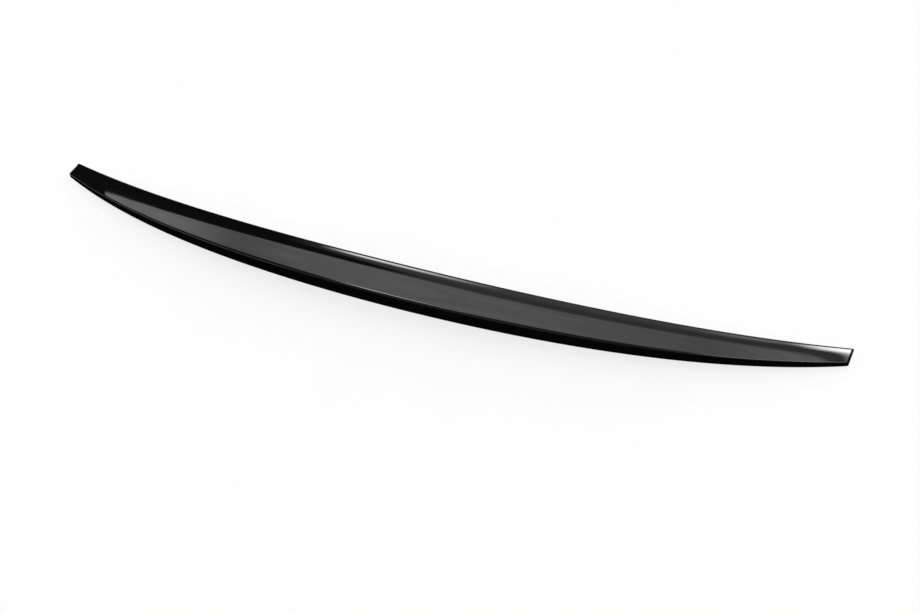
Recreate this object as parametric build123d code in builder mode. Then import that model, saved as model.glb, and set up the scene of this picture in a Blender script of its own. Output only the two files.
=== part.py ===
from build123d import *
import os
from math import atan2, cos, radians, sin, tan

# A lip spoiler for the boot lid of a saloon car: one gloss plastic moulding, open underneath.
# X runs along the spoiler, +Y to the front of the car, +Z up. The origin is on the car's centre
# line, in the middle of the underside, and the underside is level there.

# Outline, in millimetres
LENGTH = 1200.0  # tip to tip, along the underside
DEPTH_CENTRE = 80.0  # front edge to rear face on the centre line
DEPTH_TIP = 29.5  # the same at the full half length
HEIGHT_CENTRE = 22.5  # underside to trailing edge on the centre line, before its rounding
HEIGHT_TIP = 7.2  # the same at the full half length
FRONT_BOW = 70.0  # how far the front edge sweeps forward at the tips
CROWN = 27.0  # how far the underside falls with the boot lid at the tips
LATE_SWEEP = 0.23  # share of the sweep and taper that comes in late, near the tips

# Top skin
FRONT_EDGE = 2.5  # thickness of the front edge
KNEE_CENTRE = 14.0  # front edge to the knee, where the top turns from level to ramp
TRAILING_RADIUS = 2.5  # rounding of the trailing edge
EDGE_RADIUS = 1.8  # rounding of the front edge and of the tips

# Tips
TIP_RAKE = 12.0  # degrees, the tips run inwards towards the rear
TIP_LEAN = 15.0  # degrees, the tips lean inwards towards the top

# Underside
WALL = 2.5  # top skin, rear wall and tips
HOLLOW_FRONT = 1.5  # height of the hollow where it ends behind the front land
CHANNEL_CENTRE = 9.0  # clear width between rear wall and tape rail on the centre line
CHANNEL_TIP = 4.5  # the same at the full half length
RIB = 1.8  # thickness of the cross ribs and the tape rail
RIB_COUNT = 13  # cross ribs, with the same gap between them all
RIB_TIP_GAP = 60.0  # last cross rib to the tip
RIB_SETBACK = 0.8  # the cross ribs stop short of the underside, clear of the boot lid
OVERCUT = 4.0  # how far the cutters of the hollows run below the underside

# Lofts: the skin's runs a little past the tips, where it is trimmed afterwards
HALF = LENGTH / 2
LOFT_OVERRUN = 12.0
STATION_COUNT = 9

RIB_PITCH = 2 * (HALF - RIB_TIP_GAP) / (RIB_COUNT - 1)


def centred_row(count, pitch):
    return [pitch * (i - (count - 1) / 2) for i in range(count)]


def sweep_share(x):
    """0 on the centre line and 1 at the tips, rising faster near the tips."""
    share = x / HALF
    return (1 - LATE_SWEEP) * share**2 + LATE_SWEEP * share**4


def between(centre, tip, x):
    return centre + (tip - centre) * sweep_share(x)


def front_y(x):
    return DEPTH_CENTRE / 2 + FRONT_BOW * sweep_share(x)


def base_z(x):
    return -CROWN * (x / HALF) ** 2


def depth_at(x):
    return between(DEPTH_CENTRE, DEPTH_TIP, x)


def knee_at(x):
    return KNEE_CENTRE * depth_at(x) / DEPTH_CENTRE


def ramp_slope(x):
    rise = between(HEIGHT_CENTRE, HEIGHT_TIP, x) - FRONT_EDGE
    return atan2(rise, depth_at(x) - knee_at(x))


def under_ramp(x, distance, drop):
    """Height above the underside of a line that lies drop square below the ramp."""
    slope = ramp_slope(x)
    return FRONT_EDGE + (distance - knee_at(x)) * tan(slope) - drop / cos(slope)


def hollow_start(x):
    """Front edge to where the moulding is thick enough to be hollow."""
    slope = ramp_slope(x)
    return knee_at(x) + (HOLLOW_FRONT + WALL / cos(slope) - FRONT_EDGE) / tan(slope)


def rail_distance(x):
    """Front edge to the rear side of the tape rail."""
    return depth_at(x) - WALL - between(CHANNEL_CENTRE, CHANNEL_TIP, x)


def skin_section(x):
    """Flat underside, thin front edge, hollow-curved top, round trailing edge, upright rear face."""
    front, rear, base = front_y(x), front_y(x) - depth_at(x), base_z(x)
    top_front = (front, base + FRONT_EDGE)
    knee = (front - knee_at(x), base + FRONT_EDGE)
    trailing = (rear, base + between(HEIGHT_CENTRE, HEIGHT_TIP, x))
    with BuildSketch(Plane.YZ.offset(x)) as section:
        with BuildLine():
            Line((rear, base), (front, base))
            Line((front, base), top_front)
            Bezier(top_front, knee, knee, trailing)
            Line(trailing, (rear, base))
        make_face()
        fillet(section.vertices().sort_by(Axis.Y)[-1], radius=TRAILING_RADIUS)
    return section.sketch


def roofed_section(x, near, far, floor, drop):
    """A plane shape between two distances behind the front edge, with its roof along the ramp."""
    front, base = front_y(x), base_z(x)
    with BuildSketch(Plane.YZ.offset(x)) as section:
        with BuildLine():
            Polyline(
                (front - near, base + floor),
                (front - near, base + under_ramp(x, near, drop)),
                (front - far, base + under_ramp(x, far, drop)),
                (front - far, base + floor),
                close=True,
            )
        make_face()
    return section.sketch


def hollow_section(x):
    """From behind the front land back to the tape rail."""
    return roofed_section(x, hollow_start(x), rail_distance(x) - RIB, -OVERCUT, WALL)


def channel_section(x):
    """From the tape rail back to the rear wall."""
    return roofed_section(x, rail_distance(x), depth_at(x) - WALL, -OVERCUT, WALL)


def rib_section(x):
    """Across both hollows, sunk half a wall into what surrounds them."""
    sunk = WALL / 2
    return roofed_section(x, hollow_start(x) - sunk, depth_at(x) - sunk, RIB_SETBACK, sunk)


def loft_along(section, reach):
    """Through a section at each station, as far as the reach on both sides of the centre line."""
    loft([section(x) for x in centred_row(STATION_COUNT, 2 * reach / (STATION_COUNT - 1))])


def trim_tips(inset):
    """Cut both ends along the tips' outer faces, or that far inside them."""
    rake, lean = radians(TIP_RAKE), radians(TIP_LEAN)
    for side in (-1, 1):
        outward = Vector(side * cos(rake) * cos(lean), -sin(rake) * cos(lean), sin(lean))
        corner = Vector(side * HALF, front_y(HALF), base_z(HALF))
        split(bisect_by=Plane(corner - outward * inset, z_dir=outward), keep=Keep.BOTTOM)


# Cutters of the two hollows under the top skin
with BuildPart() as hollows:
    loft_along(hollow_section, HALF)
    loft_along(channel_section, HALF)
    trim_tips(WALL)

# The moulding: skin, rounded front edge and tips, hollows, then the ribs across them
with BuildPart() as spoiler:
    loft_along(skin_section, HALF + LOFT_OVERRUN)
    trim_tips(0)
    tips = spoiler.faces().filter_by(GeomType.PLANE)
    tip_edges = [edge for tip in tips for edge in tip.edges().sort_by(Axis.Z)[1:]]
    top = spoiler.faces().sort_by(lambda face: face.normal_at().Z)[-1]
    front_edge = top.edges().sort_by(SortBy.LENGTH)[-2:].sort_by(Axis.Y)[-1]
    fillet(tip_edges + [front_edge], radius=EDGE_RADIUS)
    add(hollows.part, mode=Mode.SUBTRACT)
    for x in centred_row(RIB_COUNT, RIB_PITCH):
        extrude(rib_section(x), amount=RIB / 2, both=True)

spoiler.part.label = "spoiler"
os.makedirs("parts", exist_ok=True)
export_step(spoiler.part, "parts/spoiler.step")
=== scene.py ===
from math import atan2, cos, pi, radians, sin, tan

import bpy
import bmesh
from mathutils import Matrix, Vector


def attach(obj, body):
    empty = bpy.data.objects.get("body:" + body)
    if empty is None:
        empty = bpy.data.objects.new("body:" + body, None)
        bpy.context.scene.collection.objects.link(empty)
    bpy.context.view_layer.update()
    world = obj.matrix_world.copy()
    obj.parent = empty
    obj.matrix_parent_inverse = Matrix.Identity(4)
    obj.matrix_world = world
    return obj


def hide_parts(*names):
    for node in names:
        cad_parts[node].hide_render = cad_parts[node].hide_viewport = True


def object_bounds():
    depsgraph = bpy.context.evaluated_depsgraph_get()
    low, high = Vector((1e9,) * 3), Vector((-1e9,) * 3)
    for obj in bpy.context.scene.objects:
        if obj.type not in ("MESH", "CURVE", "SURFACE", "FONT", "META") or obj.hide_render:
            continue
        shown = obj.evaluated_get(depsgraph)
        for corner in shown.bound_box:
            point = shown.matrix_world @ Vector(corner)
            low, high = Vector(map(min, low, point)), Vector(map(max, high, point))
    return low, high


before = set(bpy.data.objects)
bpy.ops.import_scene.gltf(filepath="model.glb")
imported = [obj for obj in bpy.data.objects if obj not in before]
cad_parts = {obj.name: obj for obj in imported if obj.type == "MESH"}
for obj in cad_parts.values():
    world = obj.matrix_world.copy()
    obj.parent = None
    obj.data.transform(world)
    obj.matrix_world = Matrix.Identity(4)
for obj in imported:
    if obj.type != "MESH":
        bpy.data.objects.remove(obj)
cad_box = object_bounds()

MM = 0.001

# Outline of the moulding, the same sizes as in the part's source
HALF = 600 * MM
DEPTH_CENTRE, DEPTH_TIP = 80 * MM, 29.5 * MM
HEIGHT_CENTRE, HEIGHT_TIP = 22.5 * MM, 7.2 * MM
FRONT_BOW = 70 * MM
CROWN = 27 * MM
LATE_SWEEP = 0.23
FRONT_EDGE = 2.5 * MM
KNEE_CENTRE = 14 * MM
TIP_RAKE, TIP_LEAN = radians(12), radians(15)

# Roundings, drawn finer than in the part's source: radius of the trailing edge, and length and drop
# of the roundings at the front edge, the tips and the ends of the hollows
TRAILING_CENTRE, TRAILING_TIP = 2.5 * MM, 0.6 * MM
FRONT_SOFTENING, FRONT_DROP = 5 * MM, 2.2 * MM
TIP_SOFTENING, TIP_DROP = 3 * MM, 1.8 * MM
HOLLOW_SOFTENING, HOLLOW_DROP = 0.2 * MM, 0.2 * MM

# Underside, the same sizes as in the part's source
WALL = 2.5 * MM
HOLLOW_FRONT = 1.5 * MM
CHANNEL_CENTRE, CHANNEL_TIP = 9 * MM, 4.5 * MM
RIB = 1.8 * MM
RIB_COUNT = 13
RIB_TIP_GAP = 60 * MM
RIB_SETBACK = 0.8 * MM
OVERCUT = 4 * MM

# Fineness of the mesh, in steps along the length, over the tips and round the section
STATIONS, HOLLOW_STATIONS = 170, 40
EDGE_STEPS, FACE_STEPS = 8, 3
FRONT_STEPS, TOP_STEPS, TRAILING_STEPS, UNDERSIDE_STEPS = 12, 44, 18, 8
REAR_SHARES = 0.02, 0.2, 0.4, 0.6, 0.8, 1
SEARCH_STEPS = 40
MERGE = 0.001 * MM

# The last step before a rounding is short, so that the rounding starts crisply: as a share of a
# station's step, and of the top's curve
SHORT_STATION = 0.05
SHORT_TOP = 0.001

# Faces whose normal points further down than this along Z are satin underside, and edges that turn
# by more than this angle aren't shaded smooth
DOWNWARDS = -0.7
SHARP_EDGE = radians(30)

# How far a tip's outer face moves inwards along X for each metre behind the front edge, and for
# each metre above the underside
BOW_SLOPE = FRONT_BOW / HALF * (2 + 2 * LATE_SWEEP)
CROWN_SLOPE = 2 * CROWN / HALF
ACROSS_TIP = cos(TIP_RAKE) - sin(TIP_RAKE) * BOW_SLOPE
TIP_FACING = cos(TIP_LEAN) * ACROSS_TIP - sin(TIP_LEAN) * CROWN_SLOPE
RAKE_SHIFT = sin(TIP_RAKE) * cos(TIP_LEAN) / TIP_FACING
LEAN_SHIFT = sin(TIP_LEAN) / TIP_FACING


def linear(hex_colour):
    """A colour written as sRGB hex, as the linear RGBA that nodes take."""
    channels = [int(hex_colour[i:i + 2], 16) / 255 for i in (1, 3, 5)]
    return [c / 12.92 if c <= 0.04045 else ((c + 0.055) / 1.055) ** 2.4 for c in channels] + [1.0]


def add_node(tree, kind, settings=None, links=None, out=0):
    """Adds a node with its settings and its links or values, and gives one of its outputs."""
    node = tree.nodes.new(kind)
    for name, value in (settings or {}).items():
        setattr(node, name, value)
    for key, source in (links or {}).items():
        if isinstance(source, bpy.types.NodeSocket):
            tree.links.new(source, node.inputs[key])
        else:
            node.inputs[key].default_value = source
    return node.outputs[out] if len(node.outputs) else node


def new_material(name):
    """An empty material and its node tree."""
    material = bpy.data.materials.new(name)
    material.use_nodes = True
    material.node_tree.nodes.clear()
    return material, material.node_tree


# Finishes

def gloss_black_abs():
    """ABS moulded against a polished tool: deep black with a wet gloss that mirrors the lights
    sharply. The skin is never quite true, so long soft waves bend the mirrored edges a little,
    and a faint haze of wiping marks runs along the piece."""
    material, tree = new_material("gloss_black_abs")
    place = add_node(tree, "ShaderNodeTexCoord", out="Object")
    mark_length, mark_width, wave_length = 300 * MM, 8 * MM, 90 * MM
    along = add_node(tree, "ShaderNodeMapping", {}, {
        "Vector": place, "Scale": (1 / mark_length, 1 / mark_width, 1 / mark_width)})
    wiping = add_node(tree, "ShaderNodeTexNoise", {}, {
        "Vector": along, "Scale": 1.0, "Detail": 3.0, "Roughness": 0.6})
    waves = add_node(tree, "ShaderNodeTexNoise", {}, {
        "Vector": place, "Scale": 1 / wave_length, "Detail": 1.0})
    black = add_node(tree, "ShaderNodeMix", {"data_type": "RGBA"}, {
        0: wiping, 6: linear("#040405"), 7: linear("#080809")}, out=2)
    haze = add_node(tree, "ShaderNodeMapRange", {}, {"Value": wiping, "To Min": 0.015, "To Max": 0.03})
    bump = add_node(tree, "ShaderNodeBump", {}, {
        "Height": waves, "Strength": 1.0, "Distance": 0.04 * MM})
    shader = add_node(tree, "ShaderNodeBsdfPrincipled", {}, {
        "Base Color": black, "Roughness": haze, "IOR": 1.54, "Normal": bump})
    add_node(tree, "ShaderNodeOutputMaterial", {}, {"Surface": shader})
    return material


def satin_black_abs():
    """The same ABS against a spark-eroded tool face: a fine dull grain, as the hidden side of a
    moulding has. The real grain is about 0.1 mm and is drawn at 0.5 mm so that it shows at all."""
    material, tree = new_material("satin_black_abs")
    place = add_node(tree, "ShaderNodeTexCoord", out="Object")
    grain_size, flow_size = 0.5 * MM, 40 * MM
    grain = add_node(tree, "ShaderNodeTexNoise", {}, {
        "Vector": place, "Scale": 1 / grain_size, "Detail": 2.0})
    flow = add_node(tree, "ShaderNodeTexNoise", {}, {
        "Vector": place, "Scale": 1 / flow_size, "Detail": 2.0})
    black = add_node(tree, "ShaderNodeMix", {"data_type": "RGBA"}, {
        0: flow, 6: linear("#0c0c0d"), 7: linear("#161617")}, out=2)
    dull = add_node(tree, "ShaderNodeMapRange", {}, {"Value": flow, "To Min": 0.42, "To Max": 0.55})
    bump = add_node(tree, "ShaderNodeBump", {}, {
        "Height": grain, "Strength": 0.4, "Distance": 0.04 * MM})
    shader = add_node(tree, "ShaderNodeBsdfPrincipled", {}, {
        "Base Color": black, "Roughness": dull, "IOR": 1.54, "Normal": bump})
    add_node(tree, "ShaderNodeOutputMaterial", {}, {"Surface": shader})
    return material


# Cross sections, as (distance behind the front edge, height above the underside)

def ramp(depth, height):
    """Distance of the knee behind the front edge, and the slope from there to the trailing edge."""
    knee = KNEE_CENTRE * depth / DEPTH_CENTRE
    return knee, atan2(height - FRONT_EDGE, depth - knee)


def top_point(depth, height, t):
    """A point of the hollow-curved top, from the front edge to the trailing edge."""
    knee = ramp(depth, height)[0]
    return 3 * t * (1 - t) * knee + t**3 * depth, FRONT_EDGE + t**3 * (height - FRONT_EDGE)


def top_share(depth, height, distance):
    """Where along that curve a distance behind the front edge is reached."""
    low, high = 0.0, 1.0
    for _ in range(SEARCH_STEPS):
        middle = (low + high) / 2
        if top_point(depth, height, middle)[0] < distance:
            low = middle
        else:
            high = middle
    return low


def front_rounding(depth, height):
    """Points from the front face up to the top, drawn out along the top."""
    points = []
    for i in range(FRONT_STEPS + 1):
        angle = pi / 2 * i / FRONT_STEPS
        distance = FRONT_SOFTENING * (1 - cos(angle))
        top = top_point(depth, height, top_share(depth, height, distance))[1]
        points.append((distance, top - FRONT_DROP * (1 - sin(angle))))
    return points


def skin_section(depth, height, radius):
    """Thin front edge, hollow-curved top and upright rear face, with the edges rounded."""
    knee, slope = ramp(depth, height)
    round_start = depth - radius
    round_height = FRONT_EDGE + (round_start - knee) * tan(slope) - radius / cos(slope)
    first = top_share(depth, height, FRONT_SOFTENING)
    last = top_share(depth, height, round_start - radius * sin(slope))
    shares = [first + (last - first) * i / TOP_STEPS for i in range(1, TOP_STEPS)]
    shares.append(last - SHORT_TOP)
    points = [(0, 0)]
    points += front_rounding(depth, height)
    points += [top_point(depth, height, share) for share in shares]
    for i in range(TRAILING_STEPS + 1):
        angle = pi / 2 - slope + (pi / 2 + slope) * i / TRAILING_STEPS
        points.append((round_start - radius * cos(angle),
                       round_height + radius * sin(angle)))
    points += [(depth, round_height * (1 - share)) for share in REAR_SHARES]
    points += [(depth * (UNDERSIDE_STEPS - i) / UNDERSIDE_STEPS, 0) for i in range(1, UNDERSIDE_STEPS)]
    return points


def roofed_section(depth, height, near, far):
    """A hollow between two distances behind the front edge, its roof one wall below the ramp."""
    knee, slope = ramp(depth, height)
    roof = [FRONT_EDGE + (d - knee) * tan(slope) - WALL / cos(slope) for d in (near, far)]
    return [(near, -OVERCUT), (near, roof[0]), (far, roof[1]), (far, -OVERCUT)]


def hollow_section(depth, height, channel):
    """From behind the front land back to the tape rail."""
    knee, slope = ramp(depth, height)
    start = knee + (HOLLOW_FRONT + WALL / cos(slope) - FRONT_EDGE) / tan(slope)
    return roofed_section(depth, height, start, depth - WALL - channel - RIB)


def channel_section(depth, height, channel):
    """From the tape rail back to the rear wall."""
    return roofed_section(depth, height, depth - WALL - channel, depth - WALL)


def section_curve(name, points):
    """A closed outline in the YZ plane, with the front edge at Y = 0."""
    curve = bpy.data.curves.new(name, "CURVE")
    curve.dimensions = "3D"
    spline = curve.splines.new("POLY")
    spline.points.add(len(points) - 1)
    for point, (distance, height) in zip(spline.points, points):
        point.co = (0, -distance, height, 1)
    spline.use_cyclic_u = True
    outline = bpy.data.objects.new(name, curve)
    bpy.context.collection.objects.link(outline)
    return outline


# Geometry Nodes trees

def new_tree(name, inputs):
    """A tree with named inputs, listed under their kind, and one geometry output."""
    tree = bpy.data.node_groups.new(name, "GeometryNodeTree")
    for kind, labels in inputs.items():
        for label in labels:
            tree.interface.new_socket(label, in_out="INPUT", socket_type=kind)
    tree.interface.new_socket("Geometry", in_out="OUTPUT", socket_type="NodeSocketGeometry")
    return tree, tree.nodes.new("NodeGroupInput").outputs


def sweep_tree():
    """Runs a closed section along the bowed and crowned length, from the centre's outline to the
    tip's, up to the raked and leaning tip faces, and rounds the edges of those."""
    tree, size = new_tree("section_sweep", {
        "NodeSocketObject": ["Centre section", "Tip section"],
        "NodeSocketFloat": ["Half length", "Front at centre", "Front bow", "Crown", "Late sweep",
                            "Tip inset", "Rake shift", "Lean shift", "Tip softening", "Tip drop"],
        "NodeSocketInt": ["Stations", "Edge steps", "Face steps"],
        "NodeSocketMaterial": ["Material"]})
    math, vector, remap = "ShaderNodeMath", "ShaderNodeVectorMath", "ShaderNodeMapRange"
    mix, split = "ShaderNodeMix", "ShaderNodeSeparateXYZ"
    add, subtract, multiply = {"operation": "ADD"}, {"operation": "SUBTRACT"}, {"operation": "MULTIPLY"}
    multiply_add, power = {"operation": "MULTIPLY_ADD"}, {"operation": "POWER"}
    absolute = {"operation": "ABSOLUTE"}

    # A sheet of stations by section points, joined to a tube at the end
    centre = add_node(tree, "GeometryNodeObjectInfo", {}, {"Object": size["Centre section"]}, "Geometry")
    tip = add_node(tree, "GeometryNodeObjectInfo", {}, {"Object": size["Tip section"]}, "Geometry")
    loop = add_node(tree, "GeometryNodeAttributeDomainSize", {"component": "CURVE"},
                    {"Geometry": centre}, "Point Count")
    edge_end = add_node(tree, math, add, {0: size["Stations"], 1: size["Edge steps"]})
    face_end = add_node(tree, math, add, {0: edge_end, 1: size["Face steps"]})
    columns = add_node(tree, math, multiply_add, {0: face_end, 1: 2.0, 2: 1.0})
    rows = add_node(tree, math, add, {0: loop, 1: 1.0})
    sheet = add_node(tree, "GeometryNodeMeshGrid", {}, {
        "Size X": 2.0, "Size Y": 2.0, "Vertices X": columns, "Vertices Y": rows})
    position = add_node(tree, "GeometryNodeInputPosition")
    spot = add_node(tree, split, {}, {0: position}).node.outputs

    # Which station, and how far round the tip's edge and over its face
    side = add_node(tree, math, {"operation": "SIGN"}, {0: spot["X"]})
    steps = add_node(tree, math, absolute, {0: spot["X"]})
    steps = add_node(tree, math, multiply, {0: steps, 1: face_end})
    last_but_one = add_node(tree, math, subtract, {0: size["Stations"], 1: 1 - SHORT_STATION})
    length_share = add_node(tree, remap, {}, {
        "Value": steps, "From Min": 0.0, "From Max": last_but_one})
    edge_share = add_node(tree, remap, {}, {
        "Value": steps, "From Min": size["Stations"], "From Max": edge_end})
    face_share = add_node(tree, remap, {}, {
        "Value": steps, "From Min": edge_end, "From Max": face_end})

    # The same point of both outlines
    row = add_node(tree, remap, {}, {
        "Value": spot["Y"], "From Min": -1.0, "From Max": 1.0, "To Max": loop})
    row = add_node(tree, math, {"operation": "ROUND"}, {0: row})
    row = add_node(tree, math, {"operation": "MODULO"}, {0: row, 1: loop})
    sample, at_point = "GeometryNodeSampleIndex", {"data_type": "FLOAT_VECTOR", "domain": "POINT"}
    centre_point = add_node(tree, sample, at_point, {"Geometry": centre, "Value": position, "Index": row})
    tip_point = add_node(tree, sample, at_point, {"Geometry": tip, "Value": position, "Index": row})
    tangent = add_node(tree, "GeometryNodeInputTangent")
    heading = add_node(tree, sample, at_point, {"Geometry": tip, "Value": tangent, "Index": row})
    tip_middle = add_node(tree, "GeometryNodeAttributeStatistic", {"data_type": "FLOAT_VECTOR"},
                          {"Geometry": tip, "Attribute": position}, "Mean")

    # Inwards over the tip's edge, but not up from the underside, then to the middle of its face
    inwards = add_node(tree, vector, {"operation": "CROSS_PRODUCT"}, {0: (1, 0, 0), 1: heading})
    depth = add_node(tree, math, power, {0: edge_share, 1: 2.0})
    depth = add_node(tree, math, multiply, {0: depth, 1: size["Tip drop"]})
    inset = add_node(tree, vector, {"operation": "SCALE"}, {0: inwards, "Scale": depth})
    inset = add_node(tree, vector, {"operation": "MINIMUM"}, {0: inset, 1: (1, 1, 0)})
    on_face = add_node(tree, vector, add, {0: tip_point, 1: inset})
    on_face = add_node(tree, mix, {"data_type": "VECTOR"}, {0: face_share, 4: on_face, 5: tip_middle}, 1)
    on_face = add_node(tree, split, {}, {0: on_face}).node.outputs

    # Distance from the centre line, up to the tip's face less what its edge takes
    reach = add_node(tree, math, subtract, {0: size["Half length"], 1: size["Tip inset"]})
    reach = add_node(tree, math, multiply_add, {0: on_face["Y"], 1: size["Rake shift"], 2: reach})
    lean = add_node(tree, math, multiply, {0: on_face["Z"], 1: size["Lean shift"]})
    reach = add_node(tree, math, subtract, {0: reach, 1: lean})
    left_over = add_node(tree, math, subtract, {0: 1.0, 1: edge_share})
    left_over = add_node(tree, math, power, {0: left_over, 1: 2.0})
    left_over = add_node(tree, math, multiply, {0: left_over, 1: size["Tip softening"]})
    reach = add_node(tree, math, subtract, {0: reach, 1: left_over})
    x = add_node(tree, math, multiply, {0: length_share, 1: side})
    x = add_node(tree, math, multiply, {0: reach, 1: x})

    # Sweep and taper grow with the square of that distance, and a little faster near the tips
    square = add_node(tree, math, {"operation": "DIVIDE"}, {0: x, 1: size["Half length"]})
    square = add_node(tree, math, absolute, {0: square})
    square = add_node(tree, math, power, {0: square, 1: 2.0})
    early = add_node(tree, math, subtract, {0: 1.0, 1: size["Late sweep"]})
    share = add_node(tree, math, multiply_add, {0: square, 1: size["Late sweep"], 2: early})
    share = add_node(tree, math, multiply, {0: share, 1: square})
    section = add_node(tree, mix, {"data_type": "VECTOR", "clamp_factor": False},
                       {0: share, 4: centre_point, 5: tip_point}, 1)
    section = add_node(tree, vector, add, {0: section, 1: inset})
    section = add_node(tree, mix, {"data_type": "VECTOR"}, {0: face_share, 4: section, 5: tip_middle}, 1)
    front = add_node(tree, math, multiply_add, {
        0: share, 1: size["Front bow"], 2: size["Front at centre"]})
    fall = add_node(tree, math, multiply, {0: size["Crown"], 1: -1.0})
    fall = add_node(tree, math, multiply, {0: square, 1: fall})
    station = add_node(tree, "ShaderNodeCombineXYZ", {}, {"X": x, "Y": front, "Z": fall})
    place = add_node(tree, vector, add, {0: station, 1: section})

    body = add_node(tree, "GeometryNodeSetPosition", {}, {"Geometry": sheet, "Position": place})
    body = add_node(tree, "GeometryNodeMergeByDistance", {}, {"Geometry": body, "Distance": MERGE})
    body = add_node(tree, "GeometryNodeRealizeInstances", {}, {"Geometry": body})
    body = add_node(tree, "GeometryNodeSetMaterial", {}, {"Geometry": body, "Material": size["Material"]})
    add_node(tree, "NodeGroupOutput", {}, {"Geometry": body})
    return tree


def rib_tree():
    """A row of upright plates across the length, each a little above the crowned underside."""
    tree, size = new_tree("rib_row", {
        "NodeSocketInt": ["Count"],
        "NodeSocketFloat": ["Pitch", "Half length", "Crown", "Setback"],
        "NodeSocketVector": ["Plate"],
        "NodeSocketMaterial": ["Material"]})
    math, combine, split = "ShaderNodeMath", "ShaderNodeCombineXYZ", "ShaderNodeSeparateXYZ"
    multiply, multiply_add = {"operation": "MULTIPLY"}, {"operation": "MULTIPLY_ADD"}
    start = add_node(tree, math, multiply_add, {0: size["Count"], 1: -0.5, 2: 0.5})
    start = add_node(tree, math, multiply, {0: start, 1: size["Pitch"]})
    start = add_node(tree, combine, {}, {"X": start})
    step = add_node(tree, combine, {}, {"X": size["Pitch"]})
    row = add_node(tree, "GeometryNodeMeshLine", {}, {
        "Count": size["Count"], "Start Location": start, "Offset": step})
    position = add_node(tree, "GeometryNodeInputPosition")
    x = add_node(tree, split, {}, {0: position}, "X")
    square = add_node(tree, math, {"operation": "DIVIDE"}, {0: x, 1: size["Half length"]})
    square = add_node(tree, math, multiply, {0: square, 1: square})
    fall = add_node(tree, math, multiply, {0: square, 1: size["Crown"]})
    rise = add_node(tree, split, {}, {0: size["Plate"]}, "Z")
    rise = add_node(tree, math, multiply_add, {0: rise, 1: 0.5, 2: size["Setback"]})
    rise = add_node(tree, math, {"operation": "SUBTRACT"}, {0: rise, 1: fall})
    lift = add_node(tree, combine, {}, {"Z": rise})
    row = add_node(tree, "GeometryNodeSetPosition", {}, {"Geometry": row, "Offset": lift})
    plate = add_node(tree, "GeometryNodeMeshCube", {}, {"Size": size["Plate"]})
    ribs = add_node(tree, "GeometryNodeInstanceOnPoints", {}, {"Points": row, "Instance": plate})
    ribs = add_node(tree, "GeometryNodeRealizeInstances", {}, {"Geometry": ribs})
    ribs = add_node(tree, "GeometryNodeSetMaterial", {}, {"Geometry": ribs, "Material": size["Material"]})
    add_node(tree, "NodeGroupOutput", {}, {"Geometry": ribs})
    return tree


def plain_mesh(shape):
    """What an object's modifiers make of it, as a mesh of its own."""
    bpy.context.view_layer.update()
    graph = bpy.context.evaluated_depsgraph_get()
    finished = shape.evaluated_get(graph)
    return bpy.data.meshes.new_from_object(finished, preserve_all_data_layers=True, depsgraph=graph)


def run_tree(name, tree, sizes):
    """An object made by a tree with the given inputs."""
    shape = bpy.data.objects.new(name, bpy.data.meshes.new(name))
    bpy.context.collection.objects.link(shape)
    modifier = shape.modifiers.new(name, "NODES")
    modifier.node_group = tree
    for socket in tree.interface.items_tree:
        if socket.in_out == "INPUT":
            modifier[socket.identifier] = sizes[socket.name]
    mesh = plain_mesh(shape)
    shape.modifiers.clear()
    shape.data = mesh
    return shape


def swept(name, tree, outlines, tip_inset, tip_rounding, stations, material):
    """A closed body between the outlines of its section at the centre and at the tip. The rounding
    of the tip's edge is its length along the body and its drop."""
    curves = [section_curve(name + "_outline", points) for points in outlines]
    body = run_tree(name, tree, {
        "Centre section": curves[0], "Tip section": curves[1],
        "Half length": HALF, "Front at centre": DEPTH_CENTRE / 2, "Front bow": FRONT_BOW,
        "Crown": CROWN, "Late sweep": LATE_SWEEP, "Tip inset": tip_inset,
        "Rake shift": RAKE_SHIFT, "Lean shift": LEAN_SHIFT,
        "Tip softening": tip_rounding[0], "Tip drop": tip_rounding[1],
        "Stations": stations, "Edge steps": EDGE_STEPS, "Face steps": FACE_STEPS,
        "Material": material})
    for curve in curves:
        bpy.data.objects.remove(curve)
    faces = bmesh.new()
    faces.from_mesh(body.data)
    bmesh.ops.dissolve_degenerate(faces, edges=faces.edges, dist=MERGE)
    if faces.calc_volume(signed=True) < 0:
        bmesh.ops.reverse_faces(faces, faces=faces.faces)
    faces.to_mesh(body.data)
    faces.free()
    return body


def cut(body, tool):
    """Takes a tool away from a body, whose cut faces get the tool's finish."""
    modifier = body.modifiers.new("cut", "BOOLEAN")
    modifier.operation = "DIFFERENCE"
    modifier.solver = "MANIFOLD"
    modifier.material_mode = "TRANSFER"
    modifier.object = tool
    mesh = plain_mesh(body)
    body.modifiers.clear()
    body.data = mesh
    bpy.data.objects.remove(tool)


def drop_idle_points(body):
    """Takes out points that join only two edges, which cuts leave along straight rims."""
    shape = bmesh.new()
    shape.from_mesh(body.data)
    idle = [point for point in shape.verts if len(point.link_edges) == 2]
    bmesh.ops.dissolve_verts(shape, verts=idle)
    shape.to_mesh(body.data)
    shape.free()


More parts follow.
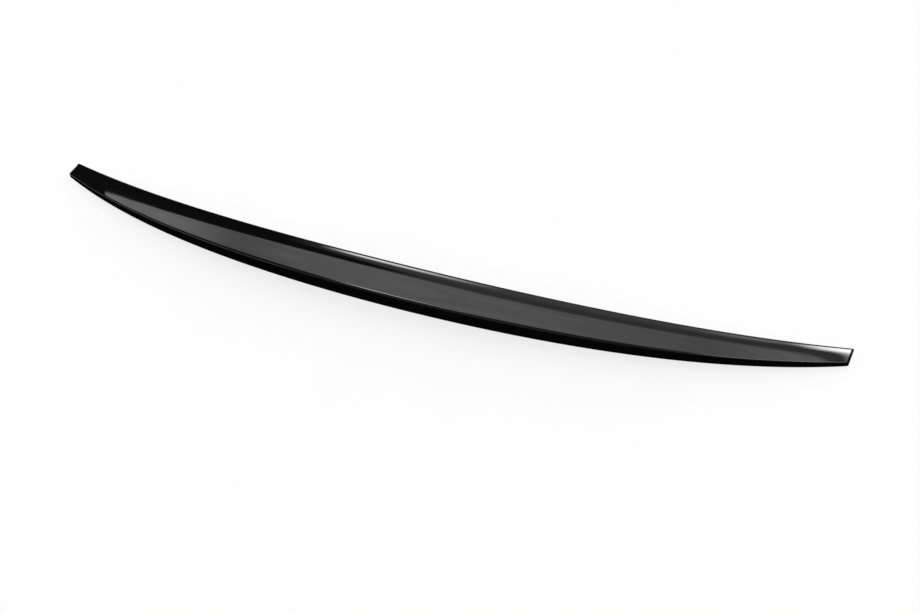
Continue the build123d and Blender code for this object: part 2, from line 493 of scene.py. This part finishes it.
def moulding():
    """Gloss skin, hollow underneath, with the cross ribs left standing in the hollows."""
    gloss, satin = gloss_black_abs(), satin_black_abs()
    sweep, row = sweep_tree(), rib_tree()
    centre, tip = (DEPTH_CENTRE, HEIGHT_CENTRE), (DEPTH_TIP, HEIGHT_TIP)
    pitch = 2 * (HALF - RIB_TIP_GAP) / (RIB_COUNT - 1)
    # The plates that leave the ribs standing reach past the hollows on all sides
    plate = (RIB, 5 * DEPTH_CENTRE, 3 * HEIGHT_CENTRE)
    outlines = skin_section(*centre, TRAILING_CENTRE), skin_section(*tip, TRAILING_TIP)
    rounding = TIP_SOFTENING, TIP_DROP
    skin = swept("spoiler_skin", sweep, outlines, 0.0, rounding, STATIONS, gloss)
    rounding = HOLLOW_SOFTENING, HOLLOW_DROP
    for name, section in (("hollow", hollow_section), ("channel", channel_section)):
        outlines = section(*centre, CHANNEL_CENTRE), section(*tip, CHANNEL_TIP)
        space = swept(name, sweep, outlines, WALL / TIP_FACING, rounding, HOLLOW_STATIONS, satin)
        ribs = run_tree("ribs", row, {
            "Count": RIB_COUNT, "Pitch": pitch, "Half length": HALF, "Crown": CROWN,
            "Setback": RIB_SETBACK, "Plate": plate, "Material": satin})
        cut(space, ribs)
        cut(skin, space)
    drop_idle_points(skin)
    slots = list(skin.data.materials)
    for face in skin.data.polygons:
        face.use_smooth = True
        if face.normal.z < DOWNWARDS:
            face.material_index = slots.index(satin)
    skin.data.set_sharp_from_angle(angle=SHARP_EDGE)
    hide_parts("spoiler")
    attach(skin, "root")


# Studio, in metres and degrees

def photo_camera():
    """At the photograph's viewing angle, its focal length in pixels of a 920 pixel wide frame."""
    azimuth, elevation, roll = radians(18.481), radians(48.035), radians(0.209)
    focal_length, frame_width, sensor_width = 881.241, 920, 36
    aside, below, away = 81.402 * MM, 27.572 * MM, 1203.826 * MM
    back = Vector((sin(azimuth) * cos(elevation), -cos(azimuth) * cos(elevation), sin(elevation)))
    right = Vector((cos(azimuth), sin(azimuth), 0))
    up = back.cross(right)
    right, up = cos(roll) * right + sin(roll) * up, cos(roll) * up - sin(roll) * right
    data = bpy.data.cameras.new("camera")
    data.sensor_width = sensor_width
    data.lens = sensor_width * focal_length / frame_width
    data.clip_start, data.clip_end = 0.05, 60
    camera = bpy.data.objects.new("camera", data)
    bpy.context.collection.objects.link(camera)
    camera.matrix_world = Matrix((right, up, back)).transposed().to_4x4()
    camera.location = aside * right - below * up + away * back
    bpy.context.scene.camera = camera


def stage_mesh(name, points, faces, material):
    """A sheet of the studio, which isn't part of the object."""
    mesh = bpy.data.meshes.new(name)
    mesh.from_pydata(points, [], faces)
    mesh.materials.append(material)
    sheet = bpy.data.objects.new(name, mesh)
    bpy.context.collection.objects.link(sheet)
    return sheet


def in_gloss_only(sheet):
    """Leaves a lamp, a wall, a cloth or a sheet of painted shade to be mirrored, out of view and out
    of the floor's light.
    """
    sheet.visible_camera = sheet.visible_diffuse = sheet.visible_shadow = False


def mirrored_card(name, points, material):
    """A flat card with that outline, seen in the gloss only."""
    card = stage_mesh(name, points, [range(len(points))], material)
    in_gloss_only(card)
    return card


def glow(tree, level, clear=False):
    """Ends a material in a light of that level, where 1 is white, on a clear cloth if need be."""
    light = add_node(tree, "ShaderNodeEmission", {}, {"Strength": level})
    if clear:
        cloth = add_node(tree, "ShaderNodeBsdfTransparent")
        light = add_node(tree, "ShaderNodeAddShader", {}, {0: light, 1: cloth})
    add_node(tree, "ShaderNodeOutputMaterial", {}, {"Surface": light})


def floor_material():
    """Matt white board, lit from below as well as from above, so that the shadow on it is faint."""
    material, tree = new_material("white_floor")
    place = add_node(tree, "ShaderNodeTexCoord", out="Object")
    mottle_size, share_from_below = 150 * MM, 0.78
    mottle = add_node(tree, "ShaderNodeTexNoise", {}, {
        "Vector": place, "Scale": 1 / mottle_size, "Detail": 3.0})
    paint = add_node(tree, "ShaderNodeMix", {"data_type": "RGBA"}, {
        0: mottle, 6: linear("#fdfdfd"), 7: linear("#ffffff")}, out=2)
    ray = add_node(tree, "ShaderNodeLightPath").node.outputs
    seen = add_node(tree, "ShaderNodeMath", {"operation": "ADD"}, {
        0: ray["Is Camera Ray"], 1: ray["Is Glossy Ray"]})
    seen = add_node(tree, "ShaderNodeMath", {"operation": "ADD"}, {
        0: seen, 1: ray["Is Transmission Ray"]})
    seen = add_node(tree, "ShaderNodeMath", {"operation": "MULTIPLY", "use_clamp": True}, {
        0: seen, 1: share_from_below})
    board = add_node(tree, "ShaderNodeBsdfDiffuse", {}, {"Color": paint})
    below = add_node(tree, "ShaderNodeEmission", {}, {"Color": paint, "Strength": 1.0})
    surface = add_node(tree, "ShaderNodeMixShader", {}, {0: seen, 1: board, 2: below})
    add_node(tree, "ShaderNodeOutputMaterial", {}, {"Surface": surface})
    return material


def far_wall_material():
    """White wall in uneven daylight with faint level streaks, over a dark base, fading into the dim
    ceiling. At the right the fade is higher and crisper, and the wall ends there in the dark."""
    material, tree = new_material("far_wall")
    place = add_node(tree, "ShaderNodeTexCoord", out="Object")
    spot = add_node(tree, "ShaderNodeSeparateXYZ", {}, {0: place}).node.outputs
    left, right = -5.5, 3.0
    along = add_node(tree, "ShaderNodeMapRange", {}, {
        "Value": spot["X"], "From Min": left, "From Max": right})
    daylight = add_node(tree, "ShaderNodeValToRGB", {}, {"Fac": along})
    stops = daylight.node.color_ramp.elements
    levels = ((-4.4, 1.06), (-3.95, 0.82), (-3.6, 0.58), (-3.35, 0.60), (-2.9, 0.82), (-1.6, 0.93),
              (-0.9, 0.88), (0.0, 0.79), (0.9, 0.70), (1.7, 0.98), (2.2, 0.98), (2.7, 0.03))
    for _ in levels[2:]:
        stops.new(0.5)
    for stop, (x, level) in zip(stops, levels):
        stop.position = (x - left) / (right - left)
        stop.color = [level] * 3 + [1]
    streak_length, streak_height = 1.2, 0.035
    stretch = add_node(tree, "ShaderNodeMapping", {}, {
        "Vector": place, "Scale": (1 / streak_length, 0, 1 / streak_height)})
    streaks = add_node(tree, "ShaderNodeTexNoise", {}, {"Vector": stretch, "Scale": 1.0, "Detail": 2.0})
    streaks = add_node(tree, "ShaderNodeMapRange", {}, {
        "Value": streaks, "From Min": 0.3, "From Max": 0.7, "To Min": 0.85, "To Max": 1.15})
    base = add_node(tree, "ShaderNodeMapRange", {"interpolation_type": "SMOOTHSTEP"}, {
        "Value": spot["Z"], "From Min": 1.42, "From Max": 1.54})
    level = add_node(tree, "ShaderNodeMath", {"operation": "MULTIPLY"}, {0: daylight, 1: streaks})
    level = add_node(tree, "ShaderNodeMath", {"operation": "MULTIPLY"}, {0: level, 1: base})
    fade_low, fade_high, low_rise, high_rise, ceiling_level = 1.91, 2.09, 0.28, 0.11, 0.3
    rise = add_node(tree, "ShaderNodeMapRange", {}, {
        "Value": spot["X"], "From Min": 1.2, "From Max": 2.0})
    rise = add_node(tree, "ShaderNodeMath", {"operation": "POWER"}, {0: rise, 1: 2.0})
    low = add_node(tree, "ShaderNodeMath", {"operation": "MULTIPLY_ADD"}, {
        0: rise, 1: low_rise, 2: fade_low})
    high = add_node(tree, "ShaderNodeMath", {"operation": "MULTIPLY_ADD"}, {
        0: rise, 1: high_rise, 2: fade_high})
    fade = add_node(tree, "ShaderNodeMapRange", {"interpolation_type": "SMOOTHSTEP"}, {
        "Value": spot["Z"], "From Min": low, "From Max": high})
    level = add_node(tree, "ShaderNodeMix", {}, {0: fade, 2: level, 3: ceiling_level})
    glow(tree, level)
    return material


def wall_material(name, level):
    """Plain wall or cloth in even light of that level, where 0 is black and 1 is white."""
    material, tree = new_material(name)
    glow(tree, level)
    return material


def cloth_material():
    """Dim ceiling cloth over the far half of the set, black to the left and overhead, nearly black
    behind, with a glow round the right lamp."""
    material, tree = new_material("ceiling_cloth")
    place = add_node(tree, "ShaderNodeTexCoord", out="Object")
    direction = add_node(tree, "ShaderNodeVectorMath", {"operation": "NORMALIZE"}, {0: place})
    spot = add_node(tree, "ShaderNodeSeparateXYZ", {}, {0: direction}).node.outputs
    remap, math, smooth = "ShaderNodeMapRange", "ShaderNodeMath", {"interpolation_type": "SMOOTHSTEP"}
    level = add_node(tree, remap, {}, {
        "Value": spot["Z"], "From Min": 0.36, "From Max": 0.70, "To Min": 0.27, "To Max": 0.75})
    near_lamp = add_node(tree, remap, smooth, {
        "Value": spot["X"], "From Min": 0.1, "From Max": 0.22, "To Max": 2.0})
    past_lamp = add_node(tree, remap, smooth, {"Value": spot["X"], "From Min": 0.45, "From Max": 0.32})
    slant_top, slant_rate = 0.45, 1.2
    slant = add_node(tree, math, {"operation": "MINIMUM"}, {0: spot["Z"], 1: slant_top})
    slant = add_node(tree, math, {"operation": "MULTIPLY_ADD"}, {
        0: slant, 1: slant_rate, 2: spot["X"]})
    from_left = add_node(tree, remap, smooth, {"Value": slant, "From Min": 0.06, "From Max": 0.22})
    below_top = add_node(tree, remap, smooth, {"Value": spot["Z"], "From Min": 0.80, "From Max": 0.68})
    ahead = add_node(tree, remap, smooth, {"Value": spot["Y"], "From Min": 0.1, "From Max": 0.4})
    above = add_node(tree, remap, smooth, {"Value": spot["Z"], "From Min": 0.40, "From Max": 0.55})
    for share in (above, past_lamp):
        near_lamp = add_node(tree, math, {"operation": "MULTIPLY"}, {0: near_lamp, 1: share})
    level = add_node(tree, math, {"operation": "MULTIPLY_ADD"}, {0: level, 1: near_lamp, 2: level})
    for share in (from_left, below_top, ahead):
        level = add_node(tree, math, {"operation": "MULTIPLY"}, {0: level, 1: share})
    behind = add_node(tree, remap, smooth, {
        "Value": spot["Y"], "From Min": -0.1, "From Max": -0.4, "To Min": 0.02, "To Max": 0.12})
    level = add_node(tree, math, {"operation": "MAXIMUM"}, {0: level, 1: behind})
    glow(tree, level)
    return material


def softbox(name, lit, direction, size, turn, rims, strength):
    """A lit cloth that faces a lit point from an azimuth and elevation, turned in its own plane. Its
    size is a width and a height, and the rims are the soft shares of those at the left, right, lower
    and upper side."""
    distance = 5.9
    width, height = size
    material, tree = new_material(name)
    place = add_node(tree, "ShaderNodeTexCoord", out="UV")
    spot = add_node(tree, "ShaderNodeSeparateXYZ", {}, {0: place}).node.outputs
    level = strength
    sides = ("X", 0, rims[0]), ("X", 1, 1 - rims[1]), ("Y", 0, rims[2]), ("Y", 1, 1 - rims[3])
    for axis, start, end in sides:
        rim = add_node(tree, "ShaderNodeMapRange", {"interpolation_type": "SMOOTHSTEP"}, {
            "Value": spot[axis], "From Min": start, "From Max": end})
        level = add_node(tree, "ShaderNodeMath", {"operation": "MULTIPLY"}, {0: rim, 1: level})
    glow(tree, level, clear=True)
    azimuth, elevation = (radians(angle) for angle in direction)
    outwards = Vector((sin(azimuth) * cos(elevation), cos(azimuth) * cos(elevation), sin(elevation)))
    right = Vector((cos(azimuth), -sin(azimuth), 0))
    up = right.cross(outwards)
    tilt = radians(turn)
    across = (cos(tilt) * right + sin(tilt) * up) * width / 2
    upwards = (cos(tilt) * up - sin(tilt) * right) * height / 2
    middle = Vector(lit) + outwards * distance
    points = [middle - across - upwards, middle + across - upwards,
              middle + across + upwards, middle - across + upwards]
    cloth = mirrored_card(name, points, material)
    layer = cloth.data.uv_layers.new(name="cloth")
    for corner, uv in zip(layer.data, ((0, 0), (1, 0), (1, 1), (0, 1))):
        corner.uv = uv


def ceiling_cloth():
    """A dome over the set, from a little below the floor up."""
    radius, skirt = 12.0, 0.3
    dome = bmesh.new()
    bmesh.ops.create_uvsphere(dome, u_segments=64, v_segments=32, radius=radius)
    below = [v for v in dome.verts if v.co.z < -skirt]
    bmesh.ops.delete(dome, geom=below, context="VERTS")
    mesh = bpy.data.meshes.new("ceiling_cloth")
    dome.to_mesh(mesh)
    dome.free()
    mesh.materials.append(cloth_material())
    cloth = bpy.data.objects.new("ceiling_cloth", mesh)
    bpy.context.collection.objects.link(cloth)
    in_gloss_only(cloth)


def far_wall_outline(left, right, floor):
    """Points of the far wall along X and Z. Its upper edge slants down at the left to a shallow dip,
    which gives the grey reflection on the top its curved start."""
    top, slant_start, dip_start, dip_steps = 2.3, -1.4, -2.3, 16
    lowest, lowest_top, bend, flattening = -4.46, 1.708, 0.148, 0.039
    points = [(left, floor), (right, floor), (right, top), (slant_start, top)]
    for i in range(dip_steps + 1):
        x = dip_start + (left - dip_start) * i / dip_steps
        away = x - lowest
        points.append((x, lowest_top + (bend - flattening * away) * away**2))
    return points


def studio():
    """A white floor under a plain white sky. The rest is seen in the gloss only: low walls round the
    floor, a dim cloth over it, two soft lamps that shine past the cloth, more at the right and behind
    the camera, a black sheet under the spoiler and beyond that paints the floor's shade into its
    reflections, and a dark grey sheet on the camera's side that paints a dimmer reflection of the floor."""
    z = cad_box[0].z
    reach, far, side, far_wall_left = 9.0, 6.0, 7.0, -5.085
    corners = [(-reach, -reach, z), (reach, -reach, z), (reach, reach, z), (-reach, reach, z)]
    stage_mesh("floor", corners, [range(4)], floor_material())
    outline = far_wall_outline(far_wall_left, side, z)
    mirrored_card("far_wall", [(x, far, top) for x, top in outline], far_wall_material())
    left, back, right = (-side, far), (-side, -side), (side, -side)
    for name, (x0, y0), (x1, y1), height, level in (
            ("left_wall", left, back, 1.735, 1.1),
            ("back_wall", back, right, 2.4, 0.3),
            ("right_wall", right, (side, far), 1.735, 0.03)):
        points = [(x0, y0, z), (x1, y1, z), (x1, y1, height), (x0, y0, height)]
        mirrored_card(name, points, wall_material(name, level))
    # Seen in the gloss only: a black sheet of painted shade of the floor under the spoiler, and of painted
    # dark reflection beyond its front edge, and a dark grey sheet of painted dimmer floor reflection
    # on the camera's side
    velvet = [(-0.56, 0.02), (-0.4, -0.06), (-0.2, -0.11), (0, -0.125), (0.2, -0.12), (0.45, -0.09),
              (0.7, -0.05), (1.6, -0.05), (1.6, 0.9), (-0.9, 0.9), (-0.64, 0.12)]
    mat = [(-0.22, -0.1), (-0.45, -0.6), (1.6, -0.6), (1.6, 0)]
    for name, finish, outline, lift, level in (
            ("velvet", "painted_shade_black", velvet, MM, 0.0),
            ("mat", "painted_dim_reflection", mat, MM / 2, 0.2)):
        mirrored_card(name, [(x, y, z + lift) for x, y in outline], wall_material(finish, level))
    ceiling_cloth()
    middle, even = (0, 0, 0), (0.4, 0.4, 0.4, 0.4)
    for name, lit, direction, size, turn, rims, strength in (
            ("lamp_left", (-0.05, 0.035, 0), (-21.6, 47.9), (1.94, 3.14), 9, (0.23, 0.81, 0.36, 0.1), 14.5),
            ("lamp_right", (0.57, 0.09, 0), (18, 31.9), (0.85, 2.33), -14, (0.5, 0.35, 0.21, 0.51), 13.7),
            ("lamp_side", (0.45, 0.03, 0), (76, 62), (3.4, 1.7), 0, (0.3, 0.4, 0.4, 0.3), 7.0),
            ("lamp_behind_right", middle, (130, 40), (3.2, 2.8), 0, even, 0.6),
            ("lamp_behind_left", middle, (-135, 40), (3.2, 2.8), 0, even, 0.2),
            ("lamp_behind", middle, (180, 65), (7.0, 1.8), 0, even, 0.5)):
        softbox(name, lit, direction, size, turn, rims, strength)

    world = bpy.data.worlds.new("white_sky")
    world.use_nodes = True
    world.node_tree.nodes.clear()
    sky = add_node(world.node_tree, "ShaderNodeBackground", {}, {
        "Color": linear("#ffffff"), "Strength": 1.0})
    add_node(world.node_tree, "ShaderNodeOutputWorld", {}, {"Surface": sky})
    bpy.context.scene.world = world


moulding()
photo_camera()
studio()
bpy.context.scene.view_settings.view_transform = "Standard"
